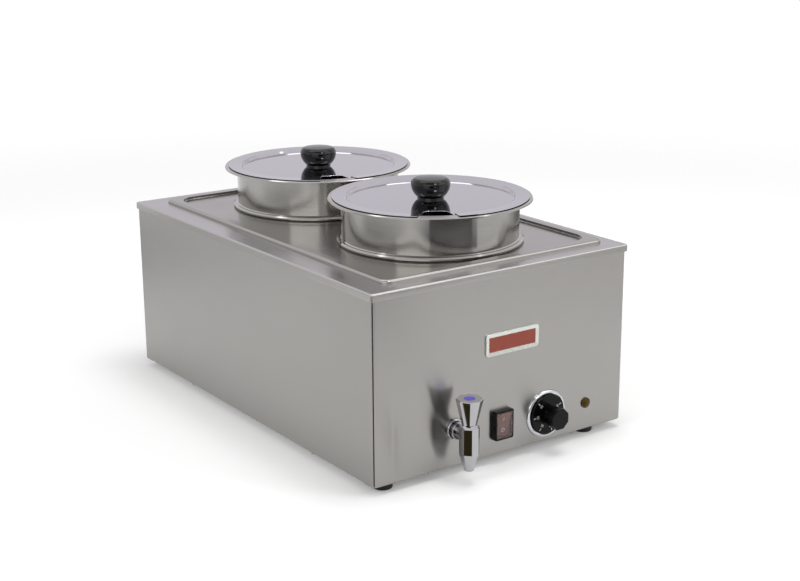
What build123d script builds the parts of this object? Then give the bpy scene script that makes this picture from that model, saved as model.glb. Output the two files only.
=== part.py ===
from build123d import *
from math import ceil
import os

# Countertop bain-marie food warmer with two lift-out soup pots.
# Millimetres, Z up, the front of the housing looks along -Y, the feet stand on Z = 0.

# Pots and their lids
pot_diameter = 217.0        # outside of the straight wall
pot_sheet = 0.8
pot_drop = 147.0            # seat ring down to the underside of the pot floor
pot_floor_radius = 18.0
collar_height = 53.5        # seat ring up to the underside of the rim flange
seat_reach = 5.6            # seat ring outside the wall
seat_height = 5.2
seat_bend = 1.2             # where the ring leaves the wall
seat_round = 1.8            # outer edges of the seat ring
rim_reach = 15.9            # rim flange outside the wall
rim_bend = 1.6
rim_drop = 1.6              # rim edge turned down below the flange
rim_edge_bend = 0.6
lid_gap = 5.2               # between the two pot rims
lid_sheet = 0.6
lid_play = 4.4              # lid edge inside the rim edge
lid_drift = 0.8             # the loose lids lie this far right of the pots
lid_clear = 0.25            # lid above the rim flange, at its inner edge
lid_rise = 0.5              # lid edge above that again
lid_recess = 3.9
recess_slope = 2.5
recess_bend = 2.0
recess_play = 4.6           # sunk middle of the lid inside the pot wall
notch_depth = 48.0          # ladle notch, from the lid edge
notch_inner_width = 28.0
notch_outer_width = 50.0
notch_corner = 9.0
front_lid_turn = -122.0     # direction the ladle notch points to
rear_lid_turn = -109.5

# Lid knobs
lid_knob_diameter = 48.0
lid_knob_neck = 32.5
lid_knob_height = 26.0
knob_foot = 2.0             # straight foot under the bowl
knob_edge = 18.0            # widest level above the lid
knob_shoulder = 5.2         # shoulder round under the crown
knob_crown = 1.0
lid_screw_diameter = 5.0
lid_screw_head = 11.0
lid_screw_grip = 11.8       # thread length inside the knob

# Adapter plate that carries the pots
plate_sheet = 0.8
plate_field_rise = 1.0      # field above the deck
plate_step = 3.4            # rim above the field
plate_rim = 12.0
plate_edge_bend = 3.0
plate_field_bend = 1.0
plate_side_margin = 52.5    # hole edge to plate edge
plate_end_margin = 25.5
plate_corner = 12.0
plate_inner_corner = 26.0
plate_shift = 8.0           # the loose plate lies this far right of the middle
hole_play = 1.5             # pot wall in its plate hole

# Housing
sheet = 0.8
deck_side_margin = 24.7     # plate edge to deck edge, plate centred
deck_end_margin = 23.0
skirt_height = 9.0
deck_bend = 2.2
side_overhang = 2.0         # skirt outside the side panel
end_overhang = 0.9          # skirt outside the front and rear panels
seat_overlap = 12.5         # plate edge outside the well opening
opening_corner = 22.0
well_sheet = 1.0
well_flange = 14.0
well_draft = 1.2            # degrees
well_floor_radius = 16.0
water_gap = 10.0            # under the pots
under_well = 67.0           # panel bottom edge to the underside of the well
panel_flange = 13.0
panel_bend = 1.8
hem_width = 8.0
hem_thickness = 1.7
hem_round = 0.75
flange_trim = 4.0           # side flanges stop short of the end flanges
corner_seam = 0.9
base_sheet = 1.0
base_inset = 3.0
base_corner = 3.0
vent_length = 60.0
vent_width = 5.0
vent_pitch = 16.0
vent_count = 9
vent_spread = 138.0         # between the two columns of vents

# Feet and small fasteners
foot_height = 9.0
foot_diameter = 24.0
foot_taper = 1.0
foot_round = 1.4
foot_recess = 11.0          # hollow for the screw head
foot_recess_depth = 4.05
foot_left_inset = 24.2      # side face to the foot
foot_right_inset = 45.2
foot_end_inset = 18.6
foot_bore = 5.4
foot_screw_head = 9.2
foot_head_height = 2.8
screw_diameter = 4.0
screw_head = 7.6
head_height = 2.6
low_head_height = 2.0
screw_length = 8.0
screw_play = 0.2
thread_end = 1.5            # bolt end past its nut
nut_flats = 8.0
nut_height = 4.0
base_screw_span = 220.0     # between the screws along a front or rear flange
side_screw_span = 300.0     # between the screws along a side flange
skirt_screw_pitch = 130.0
skirt_screw_drop = 4.95     # below the deck
overrun = 5.0               # cutters pass this far beyond a face
bend_flat = 12.0            # longest flat that follows a bend in a spun sheet

# Water tap, octagonal, quarter turn
tap_offset = 73.7           # left of the middle
tap_height = 46.0           # above the panel bottom edge
tap_reach = 27.2            # panel face to the upright axis
tap_flats = 22.0
column_up = 11.7            # column top above the shank axis
column_down = 20.2
column_chamfer = 1.2
nozzle_length = 21.3
nozzle_flats = 10.6
nozzle_bore = 7.0
shank_diameter = 16.6
shank_bore = 9.0
shank_play = 0.3
neck_diameter = 15.0
collar_setback = 6.0        # shank collar in front of the escutcheon
collar_reach = 2.2
collar_width = 4.0
collar_round = 0.9
plug_diameter = 13.0
plug_depth = 8.8            # below the shank axis
plug_port = 8.0
plug_groove_level = 6.5
plug_groove_width = 2.0
plug_groove_depth = 1.25
o_ring_wire = 1.24
stem_diameter = 8.0
stem_grip = 15.0            # stem inside the handle
running_play = 0.1
escutcheon_diameter = 25.0
escutcheon_height = 4.0
escutcheon_round = 1.4
gland_flats = 16.0
gland_height = 2.2
gland_spigot = 3.0
handle_height = 30.2
handle_bottom_radius = 8.9
handle_top_radius = 16.0
handle_chamfer = 0.8
handle_turn = 10.0          # degrees, rest angle of the octagon
handle_gap = 0.5
handle_floor = 3.8          # handle above the stem end
handle_screw_length = 14.0
button_diameter = 13.0
button_height = 2.8
button_rise = 0.4
button_round = 0.8
shank_tail = 20.0           # behind the panel
tap_nut_flats = 24.0
tap_nut_height = 6.0
tap_washer = 2.0
union_length = 12.0
pipe_diameter = 16.0
pipe_bore = 12.5
pipe_bend = 12.0
drain_inset = 38.0          # well opening edge to the drain hole

# Thermostat dial
dial_inset = 122.7          # right of the panel to the dial
dial_height = 34.5
bezel_diameter = 59.0
bezel_height = 3.0
bezel_band = 3.3
bezel_swell = 0.7
dial_play = 1.1
dial_face = 5.2
dial_chamfer = 0.9
dial_wall = 1.6
dial_total = 27.5
dial_gap = 1.6
dial_hub = 12.0
grip_base_flats = 21.0
grip_flats = 25.5
grip_round = 1.0
grip_cover = 6.0            # knob beyond the shaft end
shaft_diameter = 6.0
shaft_flat = 2.0            # flat on the shaft, from its axis
shaft_play = 0.05
shaft_depth = 13.0          # shaft inside the thermostat
bushing_diameter = 9.6
bushing_rise = 0.6
bushing_play = 0.4
thermostat_width = 44.0
thermostat_height = 36.0
thermostat_depth = 34.0
thermostat_corner = 2.0
thermostat_pitch = 28.0
thermostat_tab_x = 12.0
thermostat_tab_y = 8.0
tab_sheet = 0.8             # push-on terminals
tab_width = 6.3
tab_length = 9.0
bulb_diameter = 6.0
bulb_length = 100.0
bulb_round = 2.0
bulb_offset = 12.0
bulb_inset = 65.0           # behind the heater's front bend
clip_strap = 0.6
clip_width = 8.0
clip_ear = 3.0
clip_inset = 18.0           # from the ends of the bulb
capillary_diameter = 1.6
capillary_bend = 9.0
capillary_lead = 18.0       # in front of the heat shield
capillary_run = 30.0        # behind the thermostat
capillary_rise = 12.0

# Rocker switch with a deep frame
switch_inset = 190.2        # right of the panel to the switch
switch_height = 36.5
switch_width = 27.0
switch_tall = 35.7
switch_depth = 6.5
switch_corner = 2.0
switch_round = 0.8
switch_wall = 2.2
switch_well = 8.0           # hollow of the switch behind the panel face
switch_box_depth = 22.0
switch_box_wall = 1.2       # wall of the box behind the panel
switch_box_play = 0.2
switch_tab_x = 5.0
switch_tab_y = 8.0
small_tab_width = 4.8
small_tab_length = 8.0
rocker_play = 0.5
rocker_end_play = 0.8
rocker_pin = 3.0
rocker_pin_reach = 0.88     # pin end inside the frame wall
rocker_tilt = 7.0           # degrees either side of level
rocker_axis = -1.5          # pivot, behind the panel face
rocker_set_back = 3.4       # behind the front of the frame
rocker_crest = 0.6          # ends above the middle
rocker_back = 1.0           # behind its pivot
boot_sheet = 0.8
boot_play = 0.05
boot_set_back = 0.1
boot_corner = 0.4

# Pilot lamp
pilot_inset = 59.2          # right of the panel to the lamp
pilot_height = 34.0
pilot_flange = 13.0
pilot_flange_height = 1.4
pilot_ledge = 1.2
pilot_lens_rise = 4.5
pilot_body_diameter = 9.6
pilot_body_length = 24.0
pilot_play = 0.2
pilot_clip_reach = 2.0
pilot_clip_sheet = 0.8
pilot_tab_x = 2.5

# Heater under the well
element_diameter = 8.0
element_pitch = 70.0
element_rear_inset = 54.0   # well opening edge to the element ends
element_tail = 60.0         # straight ends behind the rear bend
element_pin = 4.0
element_pin_length = 14.0
drain_clearance = 15.0      # drain pipe to the element
clamp_front_inset = 125.0   # behind the front bend
clamp_rear_inset = 106.0    # in front of the element ends
clamp_width = 16.0
clamp_sheet = 1.4
clamp_end = 18.0
stud_diameter = 5.0
stud_length = 18.0
shield_sheet = 0.6
shield_front_inset = 5.0    # behind the front bend
shield_rear_reach = 16.0    # behind the element ends
shield_side = 20.0
shield_edge = 4.0
shield_bend = 1.4
rest_gap = 0.15             # parts lying against a hot face
cutout_disc = 17.0
cutout_depth = 6.0
cutout_bar = 26.0
cutout_bar_width = 9.0
cutout_bar_sheet = 1.2
cutout_offset = 12.0
cutout_inset = 215.0        # behind the front bend
cutout_tab_width = 6.0
cutout_tab_length = 3.0
cutout_tab_x = 5.0
cutout_tab_root = 0.5

# Supply entry
gland_inset = 65.2          # side face to the cord gland
gland_height_up = 32.0
gland_body = 22.0
gland_collar = 7.0
gland_cap = 20.0
gland_cap_round = 3.0
gland_bore = 8.6
gland_thread = 16.0
gland_thread_length = 14.0
gland_thread_play = 0.2
gland_length = 18.0
gland_nut_flats = 24.0
gland_nut_height = 5.0
block_width = 40.0
block_depth = 22.0
block_height = 16.0
block_offset = 60.0         # beside the gland
block_inset = 62.0          # in front of the rear face
block_screw_inset = 5.0
block_screw = 3.0
block_screw_head = 5.6
way_pitch = 9.0
way_bore = 4.2
way_level = 5.0
way_screw_bore = 4.6
way_screw_depth = 5.0

# Levels and faces that follow from the sizes above
hole_diameter = pot_diameter + 2 * hole_play
rim_diameter = pot_diameter + 2 * rim_reach
pot_pitch = rim_diameter + lid_gap
plate_width = hole_diameter + 2 * plate_side_margin
plate_depth = pot_pitch + hole_diameter + 2 * plate_end_margin
deck_width = plate_width + 2 * deck_side_margin
deck_depth = plate_depth + 2 * deck_end_margin
opening_width = plate_width - 2 * seat_overlap
opening_depth = plate_depth - 2 * seat_overlap
well_depth = pot_drop - plate_field_rise + water_gap
panel_bottom = foot_height + base_sheet
well_under = panel_bottom + under_well
deck_top = well_under + well_sheet + well_depth
panel_top = deck_top - sheet
side_face = deck_width / 2 - side_overhang
end_face = deck_depth / 2 - end_overhang
panel_width = 2 * (side_face - hem_thickness - screw_play)
screw_hole = screw_diameter + screw_play
loose_screw_hole = screw_diameter + 2 * screw_play
seat_level = deck_top + plate_field_rise
rim_level = seat_level + collar_height
lid_diameter = rim_diameter - 2 * lid_play
lid_level = rim_level + pot_sheet + lid_clear + lid_sheet
lid_middle = lid_level - lid_recess
lid_x = plate_shift + lid_drift
tap_y = -end_face - tap_reach
tap_level = panel_bottom + tap_height
plug_shoulder = column_up - gland_spigot
handle_level = column_up + gland_height + handle_gap
handle_top = handle_level + handle_height
stem_top = handle_level + stem_grip
shank_end = tap_reach + sheet + shank_tail
drain_y = -opening_depth / 2 + drain_inset
dial_x = side_face - dial_inset
dial_level = panel_bottom + dial_height
shaft_end = dial_total - grip_cover
switch_x = side_face - switch_inset
frame_inside_width = switch_width - 2 * switch_wall
frame_inside_tall = switch_tall - 2 * switch_wall
switch_box_width = frame_inside_width + 2 * switch_box_wall
switch_box_tall = frame_inside_tall + 2 * switch_box_wall
pilot_x = side_face - pilot_inset
gland_x = side_face - gland_inset
element_front = drain_y + pipe_diameter / 2 + drain_clearance + element_diameter / 2
element_rear = opening_depth / 2 - element_rear_inset
element_level = well_under - element_diameter / 2 - rest_gap
clamp_stations = (element_front + clamp_front_inset, element_rear - clamp_rear_inset)
clamp_top = element_level - element_diameter / 2 - rest_gap
clamp_bottom = clamp_top - clamp_sheet
shield_front = element_front + shield_front_inset
shield_rear = element_rear + shield_rear_reach
shield_bottom = clamp_bottom - shield_sheet
bulb_level = well_under - bulb_diameter / 2 - rest_gap
bulb_front = element_front + bulb_inset
front_reach = end_face + tap_reach + handle_top_radius
rear_reach = end_face + gland_length
envelope_shift = (front_reach - rear_reach) / 2


# Upright box standing on a level, given by its middle in plan.
def block(width, depth, height, x=0.0, y=0.0, z=0.0):
    return Pos(x, y, z + height / 2) * Box(width, depth, height)


# Round bar between two levels.
def rod_z(diameter, low, high, x=0.0, y=0.0):
    return Pos(x, y, (low + high) / 2) * Cylinder(diameter / 2, high - low)


# Round bar along Y between two stations.
def rod_y(diameter, near, far, x=0.0, z=0.0):
    return Pos(x, (near + far) / 2, z) * Rot(90, 0, 0) * Cylinder(diameter / 2, far - near)


# Round bar along X between two stations.
def rod_x(diameter, left, right, y=0.0, z=0.0):
    return Pos((left + right) / 2, y, z) * Rot(0, 90, 0) * Cylinder(diameter / 2, right - left)


# Drill through a face at a level, from above and below.
def drill_z(diameter, level, x, y):
    return rod_z(diameter, level - overrun, level + overrun, x, y)


# Drill through a front or rear face.
def drill_y(diameter, station, x, z):
    return rod_y(diameter, station - overrun, station + overrun, x, z)


# Prism with rounded upright corners standing on a level.
def rounded_block(width, depth, height, corner, z=0.0):
    return Pos(0, 0, z) * extrude(RectangleRounded(width, depth, corner), height)


# Regular prism with its flats a given distance apart, a flat facing +Y.
def flats_prism(flats, sides, height, z=0.0):
    outline = RegularPolygon(flats / 2, sides, major_radius=False, rotation=90 + 180 / sides)
    return Pos(0, 0, z) * extrude(outline, height)


# Several like solids exported as one node.
def group(solids):
    return Compound(list(solids))


# Hexagon nut standing on a level.
def hex_nut(flats, bore, height, z=0.0):
    return flats_prism(flats, 6, height, z) - rod_z(bore, z - overrun, z + height + overrun)


# Pan head screw, head resting on Z = 0, shank hanging down.
def pan_screw(diameter, length, head, height):
    cap = rod_z(head, 0, height)
    cap = fillet(cap.edges().sort_by(Axis.Z)[-1], height * 0.6)
    return cap + rod_z(diameter, -length, 0)


# Outline of a spun sheet: each corner of the points gets a bend, laid out in short flats.
def bent_outline(points, radii):
    corners = [points[0]]
    for edge in Wire(FilletPolyline(*points, radius=radii).edges()).order_edges():
        straight = edge.geom_type == GeomType.LINE
        steps = 1 if straight else ceil(edge.length / bend_flat)
        corners += [edge @ (step / steps) for step in range(1, steps + 1)]
    return Polyline(*corners)


# Sheet of even thickness turned about Z; the points run along one face of the sheet.
def turned_sheet(points, radii, thickness, side):
    outline = Wire(bent_outline(points, radii).edges())
    band = offset(outline, amount=thickness, side=side, kind=Kind.INTERSECTION)
    return revolve(Plane.XZ * make_face(band.edges()), Axis.Z)


# Solid of revolution from a closed outline in the XZ plane.
def turned(*points):
    return revolve(Plane.XZ * make_face(Polyline(*points, close=True)), Axis.Z)


# Folded sheet pan: the face looks up at Z = 0, the flanges hang down on all four sides.
def folded_pan(width, depth, height, thickness, bend):
    outer = Pos(0, 0, -height / 2) * Box(width, depth, height)
    outer = fillet(outer.edges().filter_by(Axis.Z), bend)
    outer = fillet(outer.faces().sort_by(Axis.Z)[-1].edges(), bend)
    inner_bend = bend - thickness
    inner = Pos(0, 0, -thickness - height / 2) * Box(width - 2 * thickness, depth - 2 * thickness, height)
    inner = fillet(inner.edges().filter_by(Axis.Z), inner_bend)
    inner = fillet(inner.faces().sort_by(Axis.Z)[-1].edges(), inner_bend)
    return outer - inner


# Places a piece built face up onto the front panel: its Z points out of the panel, its Y points up.
def on_front(x, height):
    return Pos(x, -end_face, panel_bottom + height) * Rot(90, 0, 0)


# The same for the rear panel.
def on_rear(x, height):
    return Pos(x, end_face, panel_bottom + height) * Rot(0, 0, 180) * Rot(90, 0, 0)


# Plan positions of the four feet.
def foot_places():
    left = foot_left_inset - side_face
    right = side_face - foot_right_inset
    foot_y = end_face - foot_end_inset
    return [(x, y) for x in (left, right) for y in (-foot_y, foot_y)]


# Plan positions of the screws that hold the base plate to the panel flanges.
def base_screw_places():
    end_x = base_screw_span / 2
    end_y = end_face - panel_flange / 2
    side_x = side_face - panel_flange / 2
    side_y = side_screw_span / 2
    ends = [(x, y) for x in (-end_x, end_x) for y in (-end_y, end_y)]
    sides = [(x, y) for x in (-side_x, side_x) for y in (-side_y, side_y)]
    return ends + sides


# Plan positions of the studs welded under the well.
def stud_places():
    return [(x, y) for x in (-element_pitch, element_pitch) for y in clamp_stations]


# Cuts the base screw holes through a panel flange.
def with_flange_holes(panel):
    for x, y in base_screw_places():
        panel -= drill_z(screw_hole, panel_bottom, x, y)
    return panel


# Places of the screws through the rear skirt, as X and level.
def skirt_screw_places():
    return [(way * skirt_screw_pitch, deck_top - skirt_screw_drop) for way in (-1, 0, 1)]


def make_top_deck():
    deck = Pos(0, 0, deck_top) * folded_pan(deck_width, deck_depth, skirt_height, sheet, deck_bend)
    deck -= rounded_block(opening_width, opening_depth, 2 * overrun, opening_corner, deck_top - overrun)
    for x, z in skirt_screw_places():
        deck -= drill_y(screw_hole, end_face, x, z)
    return deck


def make_water_well():
    depth = panel_top - (well_under + well_sheet)
    outer_plan = RectangleRounded(
        opening_width + 2 * well_sheet, opening_depth + 2 * well_sheet, opening_corner + well_sheet)
    inner_plan = RectangleRounded(opening_width, opening_depth, opening_corner)
    outer = extrude(outer_plan, depth + well_sheet, taper=well_draft)
    outer = fillet(outer.faces().sort_by(Axis.Z)[-1].edges(), well_floor_radius + well_sheet)
    inner = extrude(inner_plan, depth, taper=well_draft)
    inner = fillet(inner.faces().sort_by(Axis.Z)[-1].edges(), well_floor_radius)
    flange = rounded_block(
        opening_width + 2 * well_flange, opening_depth + 2 * well_flange,
        well_sheet, opening_corner + well_flange)
    pan = outer + flange - inner
    pan = Pos(0, 0, panel_top) * Rot(180, 0, 0) * pan
    for x, y in stud_places():
        pan += rod_z(stud_diameter, well_under - stud_length, well_under + well_sheet / 2, x, y)
    pan -= drill_z(pipe_bore, well_under, -tap_offset, drain_y)
    return pan


def make_front_panel():
    height = panel_top - panel_bottom
    pan = folded_pan(panel_width, height, panel_flange, sheet, panel_bend)
    panel = Pos(0, -end_face, panel_bottom + height / 2) * Rot(90, 0, 0) * pan
    panel -= drill_y(shank_diameter + 2 * shank_play, -end_face, -tap_offset, tap_level)
    panel -= drill_y(bushing_diameter + 2 * bushing_play, -end_face, dial_x, dial_level)
    for side in (-1, 1):
        panel -= drill_y(loose_screw_hole, -end_face, dial_x + side * thermostat_pitch / 2, dial_level)
    panel -= drill_y(pilot_body_diameter + 2 * pilot_play, -end_face, pilot_x, panel_bottom + pilot_height)
    window = Box(switch_box_width + 2 * switch_box_play, switch_box_tall + 2 * switch_box_play, 2 * overrun)
    panel -= on_front(switch_x, switch_height) * window
    return with_flange_holes(panel)


def make_rear_panel():
    height = panel_top - panel_bottom
    pan = folded_pan(panel_width, height, panel_flange, sheet, panel_bend)
    panel = Pos(0, end_face, panel_bottom + height / 2) * Rot(0, 0, 180) * Rot(90, 0, 0) * pan
    panel -= drill_y(gland_thread + 2 * gland_thread_play, end_face, gland_x, panel_bottom + gland_height_up)
    for x, z in skirt_screw_places():
        panel -= drill_y(screw_hole, end_face, x, z)
    return with_flange_holes(panel)


# Right-hand side panel: a channel with flanges above and below and hemmed upright edges.
def make_side_panel():
    height = panel_top - panel_bottom
    middle = (panel_top + panel_bottom) / 2
    length = 2 * (end_face - panel_bend - corner_seam)
    trim = panel_flange + flange_trim
    outer = Pos(side_face - panel_flange / 2, middle) * Rectangle(panel_flange, height)
    outer = fillet(outer.vertices().sort_by(Axis.X)[-2:], panel_bend)
    inner = Pos(side_face - sheet - panel_flange / 2, middle) * Rectangle(panel_flange, height - 2 * sheet)
    inner = fillet(inner.vertices().sort_by(Axis.X)[-2:], panel_bend - sheet)
    panel = extrude(Plane.XZ * (outer - inner), length / 2 - trim, both=True)
    for end in (-1, 1):
        web_y = end * (length / 2 - trim / 2)
        web_height = height - sheet
        panel += block(sheet, trim, web_height, side_face - sheet / 2, web_y, panel_bottom)
        hem = block(hem_thickness, hem_width, web_height, side_face - hem_thickness / 2, 0, panel_bottom)
        outer_edges = hem.edges().filter_by(Axis.Z).sort_by(Axis.Y)[-2:]
        hem = fillet(outer_edges, hem_round)
        hem = hem if end > 0 else mirror(hem, Plane.XZ)
        panel += Pos(0, end * (length / 2 - hem_width / 2), 0) * hem
    return with_flange_holes(panel)


def make_base_plate():
    width = 2 * (side_face - base_inset)
    depth = 2 * (end_face - base_inset)
    plate = rounded_block(width, depth, base_sheet, base_corner, foot_height)
    slot = extrude(SlotOverall(vent_length, vent_width), 2 * overrun)
    start = -(vent_count - 1) / 2 * vent_pitch
    for column in (-1, 1):
        for row in range(vent_count):
            plate -= Pos(column * vent_spread / 2, start + row * vent_pitch, foot_height - overrun) * slot
    for x, y in foot_places():
        plate -= drill_z(foot_bore, foot_height, x, y)
    for x, y in base_screw_places():
        plate -= drill_z(screw_hole, foot_height, x, y)
    for x, y in block_screw_places():
        plate -= drill_z(block_screw + 2 * screw_play, foot_height, x, y)
    return plate


def make_base_screws():
    screw = Rot(180, 0, 0) * pan_screw(screw_diameter, screw_length, screw_head, head_height)
    return group(Pos(x, y, foot_height) * screw for x, y in base_screw_places())


def make_skirt_screws():
    screw = Rot(-90, 0, 0) * pan_screw(screw_diameter, screw_length, screw_head, head_height)
    return group(Pos(x, deck_depth / 2, z) * screw for x, z in skirt_screw_places())


def make_rubber_feet():
    radius = foot_diameter / 2
    bore = foot_bore / 2
    foot = turned((bore, 0), (radius - foot_taper, 0), (radius, foot_height), (bore, foot_height))
    foot = fillet(foot.faces().sort_by(Axis.Z)[0].edges().sort_by(SortBy.RADIUS)[-1], foot_round)
    foot -= rod_z(foot_recess, -overrun, foot_recess_depth)
    return group(Pos(x, y, 0) * foot for x, y in foot_places())


def make_foot_screws():
    length = foot_height - foot_recess_depth + base_sheet + nut_height + thread_end
    screw = Rot(180, 0, 0) * pan_screw(stud_diameter, length, foot_screw_head, foot_head_height)
    return group(Pos(x, y, foot_recess_depth) * screw for x, y in foot_places())


def make_foot_nuts():
    nut = hex_nut(nut_flats, stud_diameter + screw_play, nut_height, panel_bottom)
    return group(Pos(x, y, 0) * nut for x, y in foot_places())


def make_adapter_plate():
    rise = plate_field_rise + plate_step
    field_width = plate_width - 2 * plate_rim
    field_depth = plate_depth - 2 * plate_rim
    wall_width = field_width + 2 * plate_sheet
    wall_depth = field_depth + 2 * plate_sheet
    wall_corner = plate_inner_corner + plate_sheet
    plate = rounded_block(plate_width, plate_depth, rise, plate_corner)
    plate = fillet(plate.faces().sort_by(Axis.Z)[-1].edges(), plate_edge_bend)
    pocket = rounded_block(field_width, field_depth, rise, plate_inner_corner, plate_field_rise)
    pocket = fillet(pocket.faces().sort_by(Axis.Z)[0].edges(), plate_field_bend)
    plate -= pocket
    channel = rounded_block(
        plate_width - 2 * plate_sheet, plate_depth - 2 * plate_sheet,
        rise - plate_sheet, plate_corner - plate_sheet)
    channel = fillet(channel.faces().sort_by(Axis.Z)[-1].edges(), plate_edge_bend - plate_sheet)
    channel -= rounded_block(wall_width, wall_depth, rise, wall_corner)
    plate -= channel
    plate -= rounded_block(wall_width, wall_depth, plate_field_rise - plate_sheet, wall_corner)
    for side in (-1, 1):
        plate -= drill_z(hole_diameter, plate_field_rise, 0, side * pot_pitch / 2)
    return Pos(plate_shift, 0, deck_top) * plate


def make_pot(y):
    radius = pot_diameter / 2
    floor = seat_level - pot_drop
    seat_top = seat_level + seat_height
    rim_inside = rim_diameter / 2 - pot_sheet
    points = [
        (0, floor),
        (radius, floor),
        (radius, seat_level),
        (radius + seat_reach, seat_level),
        (radius + seat_reach, seat_top),
        (radius, seat_top),
        (radius, rim_level),
        (rim_inside, rim_level),
        (rim_inside, rim_level - rim_drop),
    ]
    radii = [pot_floor_radius, seat_bend, seat_round, seat_round, seat_bend, rim_bend, rim_edge_bend]
    return Pos(plate_shift, y, 0) * turned_sheet(points, radii, pot_sheet, Side.LEFT)


def make_lid(y, turn):
    radius = lid_diameter / 2
    middle = pot_diameter / 2 - pot_sheet - recess_play
    seat = pot_diameter / 2 + rim_bend
    slope = lid_rise / (radius - seat)
    points = [
        (0, lid_middle),
        (middle - recess_slope, lid_middle),
        (middle, lid_level - slope * (seat - middle)),
        (radius, lid_level + lid_rise),
    ]
    lid = turned_sheet(points, [recess_bend, recess_bend], lid_sheet, Side.RIGHT)
    inner = radius - notch_depth
    outer = radius + overrun
    half_in = notch_inner_width / 2
    half_out = half_in + (notch_outer_width / 2 - half_in) * (outer - inner) / notch_depth
    outline = Polyline((inner, -half_in), (outer, -half_out), (outer, half_out), (inner, half_in), close=True)
    notch = make_face(outline)
    notch = fillet(notch.vertices().sort_by(Axis.X)[:2], notch_corner)
    lid -= Pos(0, 0, lid_middle - overrun) * extrude(notch, lid_recess + 2 * overrun)
    lid -= drill_z(lid_screw_diameter + screw_play, lid_middle, 0, 0)
    return Pos(lid_x, y, 0) * Rot(0, 0, turn) * lid


def make_lid_knob(y):
    radius = lid_knob_diameter / 2
    neck = lid_knob_neck / 2
    crown_level = lid_knob_height - knob_crown
    crown_radius = radius - knob_shoulder
    foot = Polyline((0, 0), (neck, 0), (neck, knob_foot))
    bowl = TangentArc((radius, knob_edge), (neck, knob_foot), tangent=(0, -1))
    shoulder = RadiusArc((radius, knob_edge), (crown_radius, crown_level), -1.25 * knob_shoulder)
    crown = TangentArc((0, lid_knob_height), (crown_radius, crown_level), tangent=(1, 0))
    axis = Line((0, lid_knob_height), (0, 0))
    outline = make_face(foot.edges() + bowl.edges() + shoulder.edges() + crown.edges() + axis.edges())
    knob = revolve(Plane.XZ * outline, Axis.Z)
    knob -= rod_z(lid_screw_diameter + screw_play, -overrun, lid_screw_grip + screw_play)
    return Pos(lid_x, y, lid_middle) * knob


def make_lid_screw(y):
    length = lid_sheet + lid_screw_grip
    screw = Rot(180, 0, 0) * pan_screw(lid_screw_diameter, length, lid_screw_head, foot_head_height)
    return Pos(lid_x, y, lid_middle - lid_sheet) * screw


# The tap pieces share an origin where the upright axis crosses the shank axis.
def at_tap():
    return Pos(-tap_offset, tap_y, tap_level)


# Octagon with flats facing X and Y.
def octagon(flats):
    return RegularPolygon(flats / 2, 8, major_radius=False, rotation=22.5)


def make_tap_body():
    column = Pos(0, 0, -column_down) * extrude(octagon(tap_flats), column_down + column_up)
    column = chamfer(column.faces().sort_by(Axis.Z)[-1].edges(), column_chamfer)
    nozzle = loft([
        Pos(0, 0, -column_down - nozzle_length) * octagon(nozzle_flats),
        Pos(0, 0, -column_down) * octagon(tap_flats)])
    body = column + nozzle
    step = tap_reach - escutcheon_height - collar_setback
    body += rod_y(neck_diameter, 0, step)
    body += rod_y(shank_diameter, step, shank_end)
    collar = rod_y(shank_diameter + 2 * collar_reach, step, step + collar_width)
    body += fillet(collar.edges(), collar_round)
    body -= rod_z(plug_diameter + 2 * running_play, -plug_depth - 2 * running_play, column_up + overrun)
    body -= rod_z(nozzle_bore, -column_down - nozzle_length - overrun, 0)
    body -= rod_y(shank_bore, 0, shank_end + overrun)
    return at_tap() * body


def make_tap_escutcheon():
    ring = rod_y(escutcheon_diameter, tap_reach - escutcheon_height, tap_reach)
    ring = fillet(ring.edges().sort_by(Axis.Y)[0], escutcheon_round)
    ring -= rod_y(shank_diameter + shank_play, 0, tap_reach + overrun)
    return at_tap() * ring


def make_tap_seal():
    face = tap_reach + sheet
    ring = rod_y(tap_nut_flats, face, face + tap_washer)
    ring -= rod_y(shank_diameter + shank_play, face - overrun, face + tap_washer + overrun)
    return at_tap() * ring


def make_tap_locknut():
    face = tap_reach + sheet + tap_washer
    nut = hex_nut(tap_nut_flats, shank_diameter + shank_play, tap_nut_height)
    return at_tap() * Pos(0, face, 0) * Rot(-90, 0, 0) * nut


def make_tap_plug():
    plug = rod_z(plug_diameter, -plug_depth, plug_shoulder) + rod_z(stem_diameter, plug_shoulder, stem_top)
    plug -= rod_z(plug_port, -plug_depth - overrun, plug_port / 2)
    plug -= rod_x(plug_port, 0, plug_diameter)
    groove_low = plug_groove_level - plug_groove_width / 2
    groove_high = plug_groove_level + plug_groove_width / 2
    core = plug_diameter - 2 * plug_groove_depth
    plug -= rod_z(plug_diameter + overrun, groove_low, groove_high) - rod_z(core, groove_low, groove_high)
    plug -= rod_z(screw_diameter + screw_play, stem_top - handle_screw_length, stem_top + overrun)
    return at_tap() * plug


def make_tap_o_ring():
    ring_radius = plug_diameter / 2 - plug_groove_depth + o_ring_wire / 2 + running_play / 3
    return at_tap() * Pos(0, 0, plug_groove_level) * Torus(ring_radius, o_ring_wire / 2)


def make_tap_gland():
    low = plug_shoulder + running_play
    ring = flats_prism(gland_flats, 6, gland_height, column_up)
    ring += rod_z(plug_diameter + running_play, low, column_up)
    ring -= rod_z(stem_diameter + 2 * running_play, low - overrun, column_up + gland_height + overrun)
    return at_tap() * ring


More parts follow.
